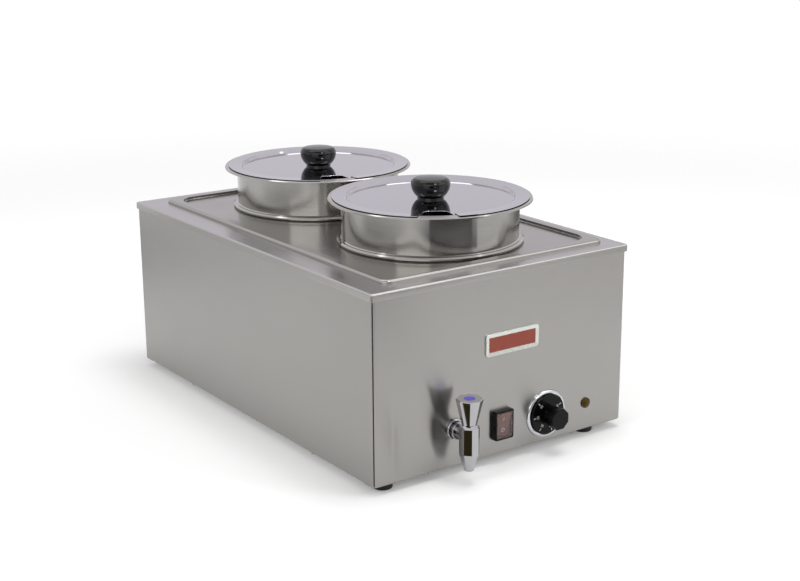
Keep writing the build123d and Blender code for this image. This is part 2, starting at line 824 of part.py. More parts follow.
def make_tap_handle():
    handle = loft([
        Pos(0, 0, handle_level) * RegularPolygon(handle_bottom_radius, 8),
        Pos(0, 0, handle_top) * RegularPolygon(handle_top_radius, 8)])
    handle = Rot(0, 0, handle_turn) * handle
    handle = chamfer(handle.faces().sort_by(Axis.Z)[-1].edges(), handle_chamfer)
    handle -= rod_z(stem_diameter + running_play, handle_level - overrun, stem_top + screw_play)
    handle -= rod_z(screw_diameter + 2 * screw_play, stem_top, handle_top)
    handle -= rod_z(screw_head + screw_play, stem_top + handle_floor, handle_top + overrun)
    handle -= rod_z(button_diameter + screw_play, handle_top - button_height, handle_top + overrun)
    return at_tap() * handle


def make_tap_handle_screw():
    screw = pan_screw(screw_diameter, handle_screw_length, screw_head - 2 * screw_play, low_head_height)
    return at_tap() * Pos(0, 0, stem_top + handle_floor) * screw


def make_tap_button():
    disc = rod_z(button_diameter, handle_top - button_height, handle_top + button_rise)
    disc = fillet(disc.edges().sort_by(Axis.Z)[-1], button_round)
    return at_tap() * disc


def make_drain_pipe():
    shank_back = shank_end - tap_reach - end_face
    path = FilletPolyline(
        (-tap_offset, drain_y, well_under), (-tap_offset, drain_y, tap_level),
        (-tap_offset, shank_back, tap_level), radius=pipe_bend)
    start = Plane(origin=(-tap_offset, drain_y, well_under), z_dir=(0, 0, -1))
    outline = start * (Circle(pipe_diameter / 2) - Circle(pipe_bore / 2))
    return sweep(outline, path=Wire(path.edges()))


def make_drain_union():
    nut = hex_nut(tap_nut_flats, shank_diameter + shank_play, union_length)
    return at_tap() * Pos(0, shank_end - union_length / 2, 0) * Rot(-90, 0, 0) * nut


def make_heating_element():
    inner = element_pitch / 2
    outer = element_pitch * 1.5
    turn = element_pitch / 2 - running_play / 10
    bend_rear = element_rear - element_tail
    plan = [
        (-outer, element_rear), (-outer, element_front), (-inner, element_front), (-inner, bend_rear),
        (inner, bend_rear), (inner, element_front), (outer, element_front), (outer, element_rear)]
    path = FilletPolyline(*[(x, y, element_level) for x, y in plan], radius=turn)
    start = Plane(origin=(-outer, element_rear, element_level), z_dir=(0, -1, 0))
    tube = sweep(start * Circle(element_diameter / 2), path=Wire(path.edges()))
    for side in (-1, 1):
        tube += rod_y(element_pin, element_rear, element_rear + element_pin_length, side * outer, element_level)
    return tube


def make_element_clamps():
    length = 3 * element_pitch + 2 * clamp_end
    bars = []
    for y in clamp_stations:
        bar = block(length, clamp_width, clamp_sheet, 0, y, clamp_bottom)
        for x in (-element_pitch, element_pitch):
            bar -= drill_z(stud_diameter + 2 * screw_play, clamp_bottom, x, y)
        bars.append(bar)
    return group(bars)


def make_heat_shield():
    width = 3 * element_pitch + 2 * shield_side
    depth = shield_rear - shield_front
    pan = Rot(180, 0, 0) * folded_pan(width, depth, shield_edge, shield_sheet, shield_bend)
    pan = Pos(0, (shield_front + shield_rear) / 2, shield_bottom) * pan
    for x, y in stud_places():
        pan -= drill_z(stud_diameter + 2 * screw_play, shield_bottom, x, y)
    return pan


def make_element_nuts():
    nut = hex_nut(nut_flats, stud_diameter + screw_play, nut_height, shield_bottom - nut_height)
    return group(Pos(x, y, 0) * nut for x, y in stud_places())


def make_thermal_cutout():
    x = -cutout_offset
    y = element_front + cutout_inset
    low = well_under - cutout_depth
    cutout = rod_z(cutout_disc, low, well_under, x, y)
    cutout += block(cutout_bar, cutout_bar_width, cutout_bar_sheet, x, y, well_under - cutout_bar_sheet)
    tab_low = low - cutout_tab_length + cutout_tab_root
    for side in (-1, 1):
        cutout += block(tab_sheet, cutout_tab_width, cutout_tab_length, x + side * cutout_tab_x, y, tab_low)
    return cutout


# Switch pieces are built face up about the switch middle, panel face at Z = 0.
def make_switch_body():
    frame = rounded_block(switch_width, switch_tall, switch_depth, switch_corner)
    frame = fillet(frame.faces().sort_by(Axis.Z)[-1].edges(), switch_round)
    body = frame + block(switch_box_width, switch_box_tall, switch_box_depth, 0, 0, -switch_box_depth)
    body -= block(frame_inside_width, frame_inside_tall, switch_well + switch_depth, 0, 0, -switch_well)
    pin_end = frame_inside_width / 2 + rocker_pin_reach
    body -= rod_x(rocker_pin + 2 * running_play, -pin_end, pin_end, 0, rocker_axis)
    tab_low = -switch_box_depth - small_tab_length
    for x in (-switch_tab_x, switch_tab_x):
        for y in (-switch_tab_y, switch_tab_y):
            body += block(tab_sheet, small_tab_width, small_tab_length, x, y, tab_low)
    return on_front(switch_x, switch_height) * body


def make_switch_rocker():
    half_width = frame_inside_width / 2 - rocker_play
    half_tall = frame_inside_tall / 2 - rocker_end_play
    middle = switch_depth - rocker_set_back
    ends = middle + rocker_crest
    back = rocker_axis - rocker_back
    outline = Polyline(
        (-half_tall, back), (half_tall, back), (half_tall, ends), (0, middle), (-half_tall, ends), close=True)
    rocker = extrude(Plane.YZ * make_face(outline), half_width, both=True)
    pin_end = frame_inside_width / 2 + rocker_pin_reach - 2 * running_play
    rocker += rod_x(rocker_pin, -pin_end, pin_end, 0, rocker_axis)
    rocker = Pos(0, 0, rocker_axis) * Rot(rocker_tilt, 0, 0) * Pos(0, 0, -rocker_axis) * rocker
    return on_front(switch_x, switch_height) * rocker


def make_switch_boot():
    width = frame_inside_width - 2 * boot_play
    tall = frame_inside_tall - 2 * boot_play
    low = switch_depth - boot_set_back - boot_sheet
    boot = rounded_block(width, tall, boot_sheet, boot_corner, low)
    return on_front(switch_x, switch_height) * boot


# Dial pieces are built face up about the shaft, panel face at Z = 0.
def make_dial_bezel():
    outer = bezel_diameter / 2
    inner = outer - bezel_band
    bore = bushing_diameter / 2 + bushing_play
    flat = Polyline((inner, bezel_height), (inner, sheet), (bore, sheet), (bore, 0), (outer, 0))
    crown = ThreePointArc((outer, 0), (outer - bezel_swell, bezel_height * 0.72), (inner, bezel_height))
    ring = revolve(Plane.XZ * make_face(flat.edges() + crown.edges()), Axis.Z)
    for side in (-1, 1):
        ring -= drill_z(loose_screw_hole, 0, side * thermostat_pitch / 2, 0)
    return on_front(dial_x, dial_height) * ring


# Tool for a D-shaped bore or flat: everything beyond the flat of the shaft.
def beyond_flat(distance, low, high):
    return block(2 * shaft_diameter, shaft_diameter, high - low, 0, distance + shaft_diameter / 2, low)


def make_thermostat_knob():
    radius = bezel_diameter / 2 - bezel_band - dial_play
    cavity = dial_face - dial_wall
    skirt = turned(
        (0, dial_gap), (radius, dial_gap), (radius, dial_face - dial_chamfer),
        (radius - dial_chamfer, dial_face), (0, dial_face))
    skirt -= rod_z(2 * (radius - dial_wall), 0, cavity)
    knob = skirt + rod_z(dial_hub, dial_gap + running_play, dial_face)
    grip = loft([
        Pos(0, 0, dial_face) * octagon(grip_base_flats),
        Pos(0, 0, dial_total) * octagon(grip_flats)])
    knob += fillet(grip.faces().sort_by(Axis.Z)[-1].edges(), grip_round)
    bore_top = shaft_end + 2 * running_play
    bore = rod_z(shaft_diameter + 2 * shaft_play, 0, bore_top)
    bore -= beyond_flat(shaft_flat + shaft_play, -overrun, bore_top + overrun)
    return on_front(dial_x, dial_height) * (knob - bore)


def make_thermostat_shaft():
    shaft = rod_z(shaft_diameter, -sheet - shaft_depth, shaft_end)
    shaft -= beyond_flat(shaft_flat, dial_gap, shaft_end + overrun)
    return on_front(dial_x, dial_height) * shaft


def make_thermostat_body():
    back = -sheet - thermostat_depth
    case = block(thermostat_width, thermostat_height, thermostat_depth, 0, 0, back)
    case = fillet(case.edges().filter_by(Axis.Z), thermostat_corner)
    case += rod_z(bushing_diameter, -sheet - bushing_rise, bushing_rise)
    case -= rod_z(shaft_diameter + 2 * running_play, -sheet - shaft_depth - bushing_play, overrun)
    screw_bottom = sheet - screw_length - screw_play
    for side in (-1, 1):
        case -= rod_z(screw_diameter + screw_play, screw_bottom, overrun, side * thermostat_pitch / 2)
        for y in (-thermostat_tab_y, thermostat_tab_y):
            case += block(tab_width, tab_sheet, tab_length, side * thermostat_tab_x, y, back - tab_length)
    return on_front(dial_x, dial_height) * case


def make_thermostat_screws():
    screw = pan_screw(screw_diameter, screw_length, screw_head, low_head_height)
    pair = [Pos(side * thermostat_pitch / 2, 0, sheet) * screw for side in (-1, 1)]
    return on_front(dial_x, dial_height) * group(pair)


def make_thermostat_bulb():
    bulb = rod_y(bulb_diameter, bulb_front, bulb_front + bulb_length, bulb_offset, bulb_level)
    bulb = fillet(bulb.edges(), bulb_round)
    case_back = -end_face + sheet + thermostat_depth
    entry = dial_level + capillary_rise
    start = (bulb_offset, bulb_front + bulb_round, bulb_level)
    points = [
        start, (bulb_offset, shield_front - capillary_lead, bulb_level),
        (dial_x, case_back + capillary_run, entry), (dial_x, case_back, entry)]
    path = FilletPolyline(*points, radius=capillary_bend)
    end = Plane(origin=start, z_dir=(0, -1, 0))
    return bulb + sweep(end * Circle(capillary_diameter / 2), path=Wire(path.edges()))


def make_bulb_clips():
    inside = bulb_diameter / 2 + rest_gap
    outside = inside + clip_strap
    hoop = Circle(outside) + Pos(0, inside / 2) * Rectangle(2 * outside, inside)
    ears = Pos(0, inside - clip_strap / 2) * Rectangle(2 * (outside + clip_ear), clip_strap)
    hollow = Circle(inside) + Pos(0, inside) * Rectangle(2 * inside, 2 * inside)
    clip = extrude(Plane.XZ * (hoop + ears - hollow), clip_width / 2, both=True)
    stations = (bulb_front + clip_inset, bulb_front + bulb_length - clip_inset)
    return group(Pos(bulb_offset, y, bulb_level) * clip for y in stations)


def make_pilot_lens():
    edge = pilot_flange / 2
    foot = edge - pilot_ledge
    flat = Polyline((0, 0), (edge, 0), (edge, pilot_flange_height), (foot, pilot_flange_height))
    dome = TangentArc((0, pilot_lens_rise), (foot, pilot_flange_height), tangent=(1, 0))
    axis = Line((0, pilot_lens_rise), (0, 0))
    outline = make_face(flat.edges() + dome.edges() + axis.edges())
    return on_front(pilot_x, pilot_height) * revolve(Plane.XZ * outline, Axis.Z)


def make_pilot_body():
    body = rod_z(pilot_body_diameter, -pilot_body_length, 0)
    tab_low = -pilot_body_length - small_tab_length
    for side in (-1, 1):
        body += block(tab_sheet, small_tab_width, small_tab_length, side * pilot_tab_x, 0, tab_low)
    return on_front(pilot_x, pilot_height) * body


def make_pilot_clip():
    ring = rod_z(pilot_flange + 2 * pilot_clip_reach, -sheet - pilot_clip_sheet, -sheet)
    ring -= drill_z(pilot_body_diameter + pilot_play, -sheet, 0, 0)
    return on_front(pilot_x, pilot_height) * ring


def make_cord_gland():
    cap = rod_z(gland_cap, gland_collar, gland_length)
    cap = fillet(cap.edges().sort_by(Axis.Z)[-1], gland_cap_round)
    body = flats_prism(gland_body, 6, gland_collar) + cap + rod_z(gland_thread, -gland_thread_length, 0)
    body -= rod_z(gland_bore, -gland_thread_length - overrun, gland_length + overrun)
    return on_rear(gland_x, gland_height_up) * body


def make_gland_nut():
    bore = gland_thread + gland_thread_play
    nut = hex_nut(gland_nut_flats, bore, gland_nut_height, -sheet - gland_nut_height)
    return on_rear(gland_x, gland_height_up) * nut


# Terminal block on the base plate beside the cord entry.
def block_place():
    return (gland_x - block_offset, end_face - block_inset)


def block_screw_places():
    x, y = block_place()
    reach = block_width / 2 - block_screw_inset
    return [(x - reach, y), (x + reach, y)]


def make_terminal_block():
    x, y = block_place()
    top = panel_bottom + block_height
    body = block(block_width, block_depth, block_height, x, y, panel_bottom)
    for way in (-1, 0, 1):
        way_x = x + way * way_pitch
        body -= rod_y(way_bore, y - block_depth, y + block_depth, way_x, panel_bottom + way_level)
        body -= rod_z(way_screw_bore, top - way_screw_depth, top + overrun, way_x, y)
    for screw_x, screw_y in block_screw_places():
        body -= rod_z(block_screw + 2 * screw_play, panel_bottom - overrun, top + overrun, screw_x, screw_y)
    return body


def make_terminal_screws():
    length = block_height + base_sheet + thread_end
    screw = pan_screw(block_screw, length, block_screw_head, low_head_height)
    top = panel_bottom + block_height
    return group(Pos(x, y, top) * screw for x, y in block_screw_places())


front_y = -pot_pitch / 2
rear_y = pot_pitch / 2
side_panel = make_side_panel()

parts = {
    "top_deck": make_top_deck(),
    "water_well": make_water_well(),
    "front_panel": make_front_panel(),
    "rear_panel": make_rear_panel(),
    "right_side_panel": side_panel,
    "left_side_panel": mirror(side_panel, Plane.YZ),
    "base_plate": make_base_plate(),
    "base_screws": make_base_screws(),
    "skirt_screws": make_skirt_screws(),
    "rubber_feet": make_rubber_feet(),
    "foot_screws": make_foot_screws(),
    "foot_nuts": make_foot_nuts(),
    "adapter_plate": make_adapter_plate(),
    "front_pot": make_pot(front_y),
    "rear_pot": make_pot(rear_y),
    "front_lid": make_lid(front_y, front_lid_turn),
    "rear_lid": make_lid(rear_y, rear_lid_turn),
    "front_lid_knob": make_lid_knob(front_y),
    "rear_lid_knob": make_lid_knob(rear_y),
    "front_lid_screw": make_lid_screw(front_y),
    "rear_lid_screw": make_lid_screw(rear_y),
    "tap_body": make_tap_body(),
    "tap_escutcheon": make_tap_escutcheon(),
    "tap_seal": make_tap_seal(),
    "tap_locknut": make_tap_locknut(),
    "tap_plug": make_tap_plug(),
    "tap_o_ring": make_tap_o_ring(),
    "tap_gland": make_tap_gland(),
    "tap_handle": make_tap_handle(),
    "tap_handle_screw": make_tap_handle_screw(),
    "tap_button": make_tap_button(),
    "drain_pipe": make_drain_pipe(),
    "drain_union": make_drain_union(),
    "heating_element": make_heating_element(),
    "element_clamps": make_element_clamps(),
    "heat_shield": make_heat_shield(),
    "element_nuts": make_element_nuts(),
    "thermal_cutout": make_thermal_cutout(),
    "switch_body": make_switch_body(),
    "switch_rocker": make_switch_rocker(),
    "switch_boot": make_switch_boot(),
    "dial_bezel": make_dial_bezel(),
    "thermostat_knob": make_thermostat_knob(),
    "thermostat_shaft": make_thermostat_shaft(),
    "thermostat_body": make_thermostat_body(),
    "thermostat_screws": make_thermostat_screws(),
    "thermostat_bulb": make_thermostat_bulb(),
    "bulb_clips": make_bulb_clips(),
    "pilot_lens": make_pilot_lens(),
    "pilot_body": make_pilot_body(),
    "pilot_clip": make_pilot_clip(),
    "cord_gland": make_cord_gland(),
    "gland_nut": make_gland_nut(),
    "terminal_block": make_terminal_block(),
    "terminal_screws": make_terminal_screws(),
}

os.makedirs("parts", exist_ok=True)
for name, shape in parts.items():
    export_step(Pos(0, envelope_shift, 0) * shape, "parts/" + name + ".step")
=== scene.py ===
import bpy
import bmesh
from math import cos, pi, radians, sin
from mathutils import Matrix, Vector


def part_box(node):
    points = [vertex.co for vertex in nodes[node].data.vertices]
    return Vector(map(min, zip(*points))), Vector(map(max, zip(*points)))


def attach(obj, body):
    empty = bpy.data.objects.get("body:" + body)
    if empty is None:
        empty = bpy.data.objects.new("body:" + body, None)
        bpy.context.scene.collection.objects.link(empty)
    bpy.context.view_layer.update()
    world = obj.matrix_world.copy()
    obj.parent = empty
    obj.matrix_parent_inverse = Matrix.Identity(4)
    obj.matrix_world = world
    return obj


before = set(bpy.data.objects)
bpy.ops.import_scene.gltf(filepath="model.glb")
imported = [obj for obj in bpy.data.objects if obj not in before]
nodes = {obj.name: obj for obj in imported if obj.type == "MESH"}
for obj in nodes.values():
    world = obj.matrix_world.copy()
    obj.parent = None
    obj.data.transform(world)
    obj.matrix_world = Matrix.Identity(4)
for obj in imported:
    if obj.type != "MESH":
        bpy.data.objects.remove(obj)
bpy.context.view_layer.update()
scene = bpy.context.scene
mm = 0.001
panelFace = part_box("front_panel")[0][1] / mm  # front of the control panel, mm
spinAxes = {}
for nodeName in ("front_pot", "rear_pot", "front_lid", "rear_lid"):
    low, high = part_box(nodeName)
    spinAxes[nodeName] = ((low[0] + high[0]) / 2, (low[1] + high[1]) / 2)  # in plan, m
print("frame loaded:", len(nodes), "nodes")


def linear(hexColour):  # sRGB hex to the linear colour that a shader takes
    parts = [int(hexColour[i:i + 2], 16) / 255 for i in (1, 3, 5)]
    return [p / 12.92 if p <= 0.04045 else ((p + 0.055) / 1.055) ** 2.4 for p in parts] + [1.0]


def perMetre(size):  # feature size in mm to a texture scale
    return 1 / (size * mm)


def addNode(tree, kind, settings):  # attributes come first in settings, then inputs by name or number
    node = tree.nodes.new(kind)
    for key, value in settings.items():
        if isinstance(value, bpy.types.NodeSocket):
            tree.links.new(value, node.inputs[key])
        elif isinstance(key, str) and hasattr(node, key):
            setattr(node, key, value)
        else:
            node.inputs[key].default_value = value
    return node


def startMaterial(name, colour, roughness, metallic=0.0):
    material = bpy.data.materials.new(name)
    material.use_nodes = True
    tree = material.node_tree
    shader = tree.nodes["Principled BSDF"]
    shader.inputs["Base Color"].default_value = linear(colour)
    shader.inputs["Roughness"].default_value = roughness
    shader.inputs["Metallic"].default_value = metallic
    coords = addNode(tree, "ShaderNodeTexCoord", {})
    return material, tree, shader, coords.outputs["Object"]


# What the finishes share: the span where a noise mostly lies, lengths in mm, a quarter turn, and how much of the
# roughness comes from handling.
surface = {"noise": (0.3, 0.7), "bumpDepth": 0.1, "edgeFade": 2, "across": 0.25, "brushedWear": 0.5, "spunWear": 0.6}


def drift(tree, shader, look, tintBy, roughBy):  # colour and roughness each move between the two ends of a look
    tint = addNode(tree, "ShaderNodeMix", {
        "data_type": "RGBA", 0: tintBy, 6: linear(look["dark"]), 7: linear(look["colour"])})
    tree.links.new(tint.outputs[2], shader.inputs["Base Color"])
    rough = addNode(tree, "ShaderNodeMapRange", {
        "Value": roughBy, "From Min": surface["noise"][0], "From Max": surface["noise"][1],
        "To Min": look["roughness"][0], "To Max": look["roughness"][1]})
    tree.links.new(rough.outputs[0], shader.inputs["Roughness"])
    return tint.outputs[2]


def scoreLines(tree, shader, look, axis, lines):  # fine raised lines that pull reflections out across them
    shader.inputs["Anisotropic"].default_value = look["smear"]
    shader.inputs["Anisotropic Rotation"].default_value = surface["across"]
    tangent = addNode(tree, "ShaderNodeTangent", {"direction_type": "RADIAL", "axis": axis})
    tree.links.new(tangent.outputs[0], shader.inputs["Tangent"])
    bump = addNode(tree, "ShaderNodeBump", {
        "Strength": look["bump"], "Distance": surface["bumpDepth"] * mm, "Height": lines})
    tree.links.new(bump.outputs[0], shader.inputs["Normal"])


# Rolled and brushed stainless sheet: long fine lines that smear reflections across the grain.
def brushedSteel(name, look):
    material, tree, shader, place = startMaterial(name, look["colour"], look["roughness"][1], 1.0)
    lines = addNode(tree, "ShaderNodeMapping", {
        "Vector": place, "Scale": [perMetre(size) for size in look["grain"]]})
    grain = addNode(tree, "ShaderNodeTexNoise", {
        "Vector": lines.outputs[0], "Scale": 1.0, "Detail": 3.0, "Roughness": 0.6})
    smudge = addNode(tree, "ShaderNodeTexNoise", {
        "Vector": place, "Scale": perMetre(look["smudge"]), "Detail": 3.0, "Roughness": 0.55})
    worn = addNode(tree, "ShaderNodeMix", {
        0: surface["brushedWear"], 2: grain.outputs[0], 3: smudge.outputs[0]})
    tint = drift(tree, shader, look, grain.outputs[0], worn.outputs[0])
    if "edge" in look:  # painted shade: the turned-down edge of the sheet is painted darker than its top
        heights = addNode(tree, "ShaderNodeSeparateXYZ", {"Vector": place})
        upper = addNode(tree, "ShaderNodeMapRange", {
            "Value": heights.outputs[2], "From Min": look["edgeTop"] - surface["edgeFade"] * mm,
            "From Max": look["edgeTop"]})
        # painted shade on the skirt below the top of the deck
        paintedSkirtShade = addNode(tree, "ShaderNodeMix", {
            "data_type": "RGBA", 0: upper.outputs[0], 6: linear(look["edge"]), 7: tint})
        tree.links.new(paintedSkirtShade.outputs[2], shader.inputs["Base Color"])
    scoreLines(tree, shader, look, look["about"], grain.outputs[0])
    return material


# Spun and buffed stainless: fine rings round the axis of the vessel.
def spunSteel(name, look, axis):
    material, tree, shader, place = startMaterial(name, look["colour"], look["roughness"][1], 1.0)
    middle = addNode(tree, "ShaderNodeMapping", {"Vector": place, "Location": (-axis[0], -axis[1], 0)})
    parts = addNode(tree, "ShaderNodeSeparateXYZ", {"Vector": middle.outputs[0]})
    level = addNode(tree, "ShaderNodeCombineXYZ", {"X": parts.outputs[0], "Y": parts.outputs[1]})
    radius = addNode(tree, "ShaderNodeVectorMath", {"operation": "LENGTH", 0: level.outputs[0]})
    ringPlace = addNode(tree, "ShaderNodeCombineXYZ", {"X": radius.outputs["Value"], "Z": parts.outputs[2]})
    rings = addNode(tree, "ShaderNodeTexNoise", {
        "Vector": ringPlace.outputs[0], "Scale": perMetre(look["ring"]), "Detail": 2.0, "Roughness": 0.6})
    smudge = addNode(tree, "ShaderNodeTexNoise", {
        "Vector": place, "Scale": perMetre(look["smudge"]), "Detail": 3.0, "Roughness": 0.55})
    worn = addNode(tree, "ShaderNodeMix", {
        0: surface["spunWear"], 2: rings.outputs[0], 3: smudge.outputs[0]})
    drift(tree, shader, look, rings.outputs[0], worn.outputs[0])
    scoreLines(tree, shader, look, "Z", rings.outputs[0])
    return material


# Turned, plated or drawn metal: a near even shine with faint handling marks.
def evenMetal(name, look):
    material, tree, shader, place = startMaterial(name, look["colour"], look["roughness"][1], 1.0)
    marks = addNode(tree, "ShaderNodeTexNoise", {
        "Vector": place, "Scale": perMetre(look["mark"]), "Detail": 4.0, "Roughness": 0.6})
    drift(tree, shader, look, marks.outputs[0], marks.outputs[0])
    return material


# Moulded plastic, rubber, enamel or fired clay: even colour, fine grit in the gloss and a slight orange peel.
def moulded(name, look):
    material, tree, shader, place = startMaterial(name, look["colour"], look["roughness"][1])
    grit = addNode(tree, "ShaderNodeTexNoise", {
        "Vector": place, "Scale": perMetre(look["grit"]), "Detail": 3.0, "Roughness": 0.6})
    cloud = addNode(tree, "ShaderNodeTexNoise", {
        "Vector": place, "Scale": perMetre(look["cloud"]), "Detail": 2.0})
    drift(tree, shader, look, cloud.outputs[0], cloud.outputs[0])
    bump = addNode(tree, "ShaderNodeBump", {
        "Strength": look["bump"], "Distance": surface["bumpDepth"] * mm, "Height": grit.outputs[0]})
    tree.links.new(bump.outputs[0], shader.inputs["Normal"])
    shader.inputs["IOR"].default_value = look["ior"]
    shader.inputs["Transmission Weight"].default_value = look.get("clear", 0.0)
    return material


# Sheet finishes. The grain is (along x, along y, along z) in mm, drawn coarser than the real 0.1 mm lines to show.
brushedLooks = {
    "panel_steel": {"colour": "#a19f9c", "dark": "#9c9a97", "grain": (140, 140, 0.9), "smudge": 70,
                    "roughness": (0.23, 0.27), "smear": 0.85, "about": "Z", "bump": 0.008},  # even satin, faint lines
    "deck_steel": {"colour": "#b9b7b8", "dark": "#afadae", "grain": (0.9, 140, 0.9), "smudge": 60,
                   "roughness": (0.18, 0.28), "smear": 0.5, "about": "Y", "bump": 0.05,
                   "edge": "#a4a29f", "edgeTop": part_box("top_deck")[1][2]},  # painted light: a lighter base than the panels' same steel, with the skirt in painted shade; lines from front to back
    "plate_steel": {"colour": "#a5a3a0", "dark": "#9b9996", "grain": (0.9, 120, 0.9), "smudge": 45,
                    "roughness": (0.14, 0.26), "smear": 0.4, "about": "Y", "bump": 0.05},  # handled, shiny in patches
    "well_steel": {"colour": "#b4b2b0", "dark": "#a6a4a1", "grain": (90, 90, 1.4), "smudge": 40,
                   "roughness": (0.24, 0.38), "smear": 0.3, "about": "Z", "bump": 0.05},  # drawn pan, dulled by water
    "base_steel": {"colour": "#acaaa8", "dark": "#9c9a98", "grain": (1.4, 120, 1.4), "smudge": 50,
                   "roughness": (0.3, 0.45), "smear": 0.3, "about": "Y", "bump": 0.05},  # unpolished, spreads the light
}

# Spun finishes: the pots keep long streaks, the lids are buffed nearly to a mirror.
potSteel = {"colour": "#aba9a5", "dark": "#9f9d99", "ring": 0.9, "smudge": 40,
            "roughness": (0.11, 0.15), "smear": 0.9, "bump": 0.03}
lidSteel = {"colour": "#b9b6bc", "dark": "#b2afb6", "ring": 0.9, "smudge": 55,
            "roughness": (0.05, 0.1), "smear": 0.1, "bump": 0.02}
spunLooks = {"front_pot": potSteel, "rear_pot": potSteel, "front_lid": lidSteel, "rear_lid": lidSteel}

# Solid metals; the mark is the size of a handling mark in mm.
metalLooks = {
    "screw_steel": {"colour": "#b0aeab", "dark": "#9c9a97", "mark": 3, "roughness": (0.2, 0.34)},  # small dull glints
    "tap_chrome": {"colour": "#b4b3b6", "dark": "#abaaad", "mark": 14, "roughness": (0.03, 0.07)},  # hard mirror facets
    "bezel_chrome": {"colour": "#cdced2", "dark": "#c3c4c8", "mark": 10, "roughness": (0.04, 0.1)},  # a bright ring
    "valve_brass": {"colour": "#c6a45c", "dark": "#a98543", "mark": 5, "roughness": (0.18, 0.32)},  # warm yellow shine
    "dark_sheath": {"colour": "#5b554e", "dark": "#413c37", "mark": 8, "roughness": (0.38, 0.55)},  # browned by heat
    "bright_tube": {"colour": "#b9b7b4", "dark": "#a9a6a2", "mark": 10, "roughness": (0.16, 0.28)},  # clean drawn shine
    "bulb_copper": {"colour": "#c1875f", "dark": "#9d6644", "mark": 6, "roughness": (0.2, 0.36)},  # warm, tarnished
    "shield_aluminium": {"colour": "#c9cacb", "dark": "#b6b7b9", "mark": 25, "roughness": (0.22, 0.36)},  # pale satin
}

# Moulded finishes; grit and cloud are the sizes in mm of the peel and of the drift in colour.
mouldedLooks = {
    "black_knob": {"colour": "#08080a", "dark": "#050506", "grit": 1.2, "cloud": 12,
                   "roughness": (0.03, 0.07), "bump": 0.01, "ior": 1.42},  # phenolic, deep gloss with sharp glints
    "black_nylon": {"colour": "#060606", "dark": "#030303", "grit": 0.5, "cloud": 9,
                    "roughness": (0.22, 0.34), "bump": 0.06, "ior": 1.25},  # satin black
    "black_rubber": {"colour": "#161616", "dark": "#0e0e0e", "grit": 0.7, "cloud": 7,
                     "roughness": (0.6, 0.8), "bump": 0.15, "ior": 1.5},  # matt
    "blue_button": {"colour": "#4a3fc4", "dark": "#3d34ae", "grit": 0.6, "cloud": 4,
                    "roughness": (0.16, 0.28), "bump": 0.03, "ior": 1.5},  # soft gloss
    "red_rocker": {"colour": "#7c3a2c", "dark": "#451a12", "grit": 0.6, "cloud": 3,
                   "roughness": (0.14, 0.24), "bump": 0.03, "ior": 1.58},  # tinted polycarbonate, uneven in depth
    "clear_boot": {"colour": "#f3efec", "dark": "#ebe6e2", "grit": 0.8, "cloud": 8,
                   "roughness": (0.05, 0.14), "bump": 0.03, "ior": 1.22, "clear": 0.95},  # clear vinyl, a faint haze
    "amber_lens": {"colour": "#5f4a08", "dark": "#2f2202", "grit": 0.8, "cloud": 3,
                   "roughness": (0.1, 0.2), "bump": 0.05, "ior": 1.25},  # dark amber, unlit
    "pale_ceramic": {"colour": "#ded8cb", "dark": "#cfc8b9", "grit": 0.5, "cloud": 10,
                     "roughness": (0.3, 0.45), "bump": 0.06, "ior": 1.55},  # off-white with a satin glaze
}

finishes = {}
for slotName, look in brushedLooks.items():
    finishes[slotName] = brushedSteel("brushed_" + slotName, look)
for nodeName, look in spunLooks.items():
    finishes[nodeName] = spunSteel("spun_" + nodeName, look, spinAxes[nodeName])
for slotName, look in metalLooks.items():
    finishes[slotName] = evenMetal("metal_" + slotName, look)
for slotName, look in mouldedLooks.items():
    finishes[slotName] = moulded("moulded_" + slotName, look)

for nodeName, node in nodes.items():
    for place in node.material_slots:
        slotName = place.material.name.split(".")[0]
        place.material = finishes[nodeName if nodeName in spunLooks else slotName]
print("finishes on the CAD nodes:", len(finishes))


def meshFrom(shape, name):
    mesh = bpy.data.meshes.new(name)
    shape.to_mesh(mesh)
    shape.free()
    return mesh


def addObject(name, data):
    added = bpy.data.objects.new(name, data)
    scene.collection.objects.link(added)
    return added


def addPiece(name, mesh, material, body):
    piece = addObject(name, mesh)
    mesh.materials.clear()
    mesh.materials.append(material)
    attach(piece, body)


def vertsOf(made):  # the vertices among all that an extrusion made
    return [item for item in made["geom"] if isinstance(item, bmesh.types.BMVert)]


def facing(place, direction, axis="Z"):  # at place, with the axis turned along the direction
    return Matrix.Translation(place) @ direction.to_track_quat(axis, "Y").to_matrix().to_4x4()


def setOnFront(shape, centre):  # a shape drawn in mm, face up, is turned to look out of the front panel
    bmesh.ops.scale(shape, vec=(mm, mm, mm), verts=shape.verts)
    place = Matrix.Translation([c * mm for c in centre]) @ Matrix.Rotation(pi / 2, 4, "X")
    bmesh.ops.transform(shape, matrix=place, verts=shape.verts)


# Bare plate on the front panel: a cast frame round a plain enamel field.
plate = {"centre": (9, panelFace, 146), "width": 78, "height": 27, "corner": 4, "thick": 2.0, "rim": 4.6,
         "rimRound": 0.35, "rimSteps": 3, "rimWithin": 0.01, "sunk": 0.7, "cornerSteps": 6,
         "fieldPlay": 0.2, "fieldCorner": 0.8, "fieldThick": 0.3}  # mm
castAluminium = evenMetal("cast_aluminium", {  # satin skin with small bright and dull spots
    "colour": "#d9dcd6", "dark": "#c9ccc7", "mark": 4, "roughness": (0.22, 0.36)})
redEnamel = moulded("red_enamel", {  # fired gloss, almost even
    "colour": "#9c3a1c", "dark": "#8b3018", "grit": 0.6, "cloud": 14,
    "roughness": (0.2, 0.24), "bump": 0.02, "ior": 1.5})


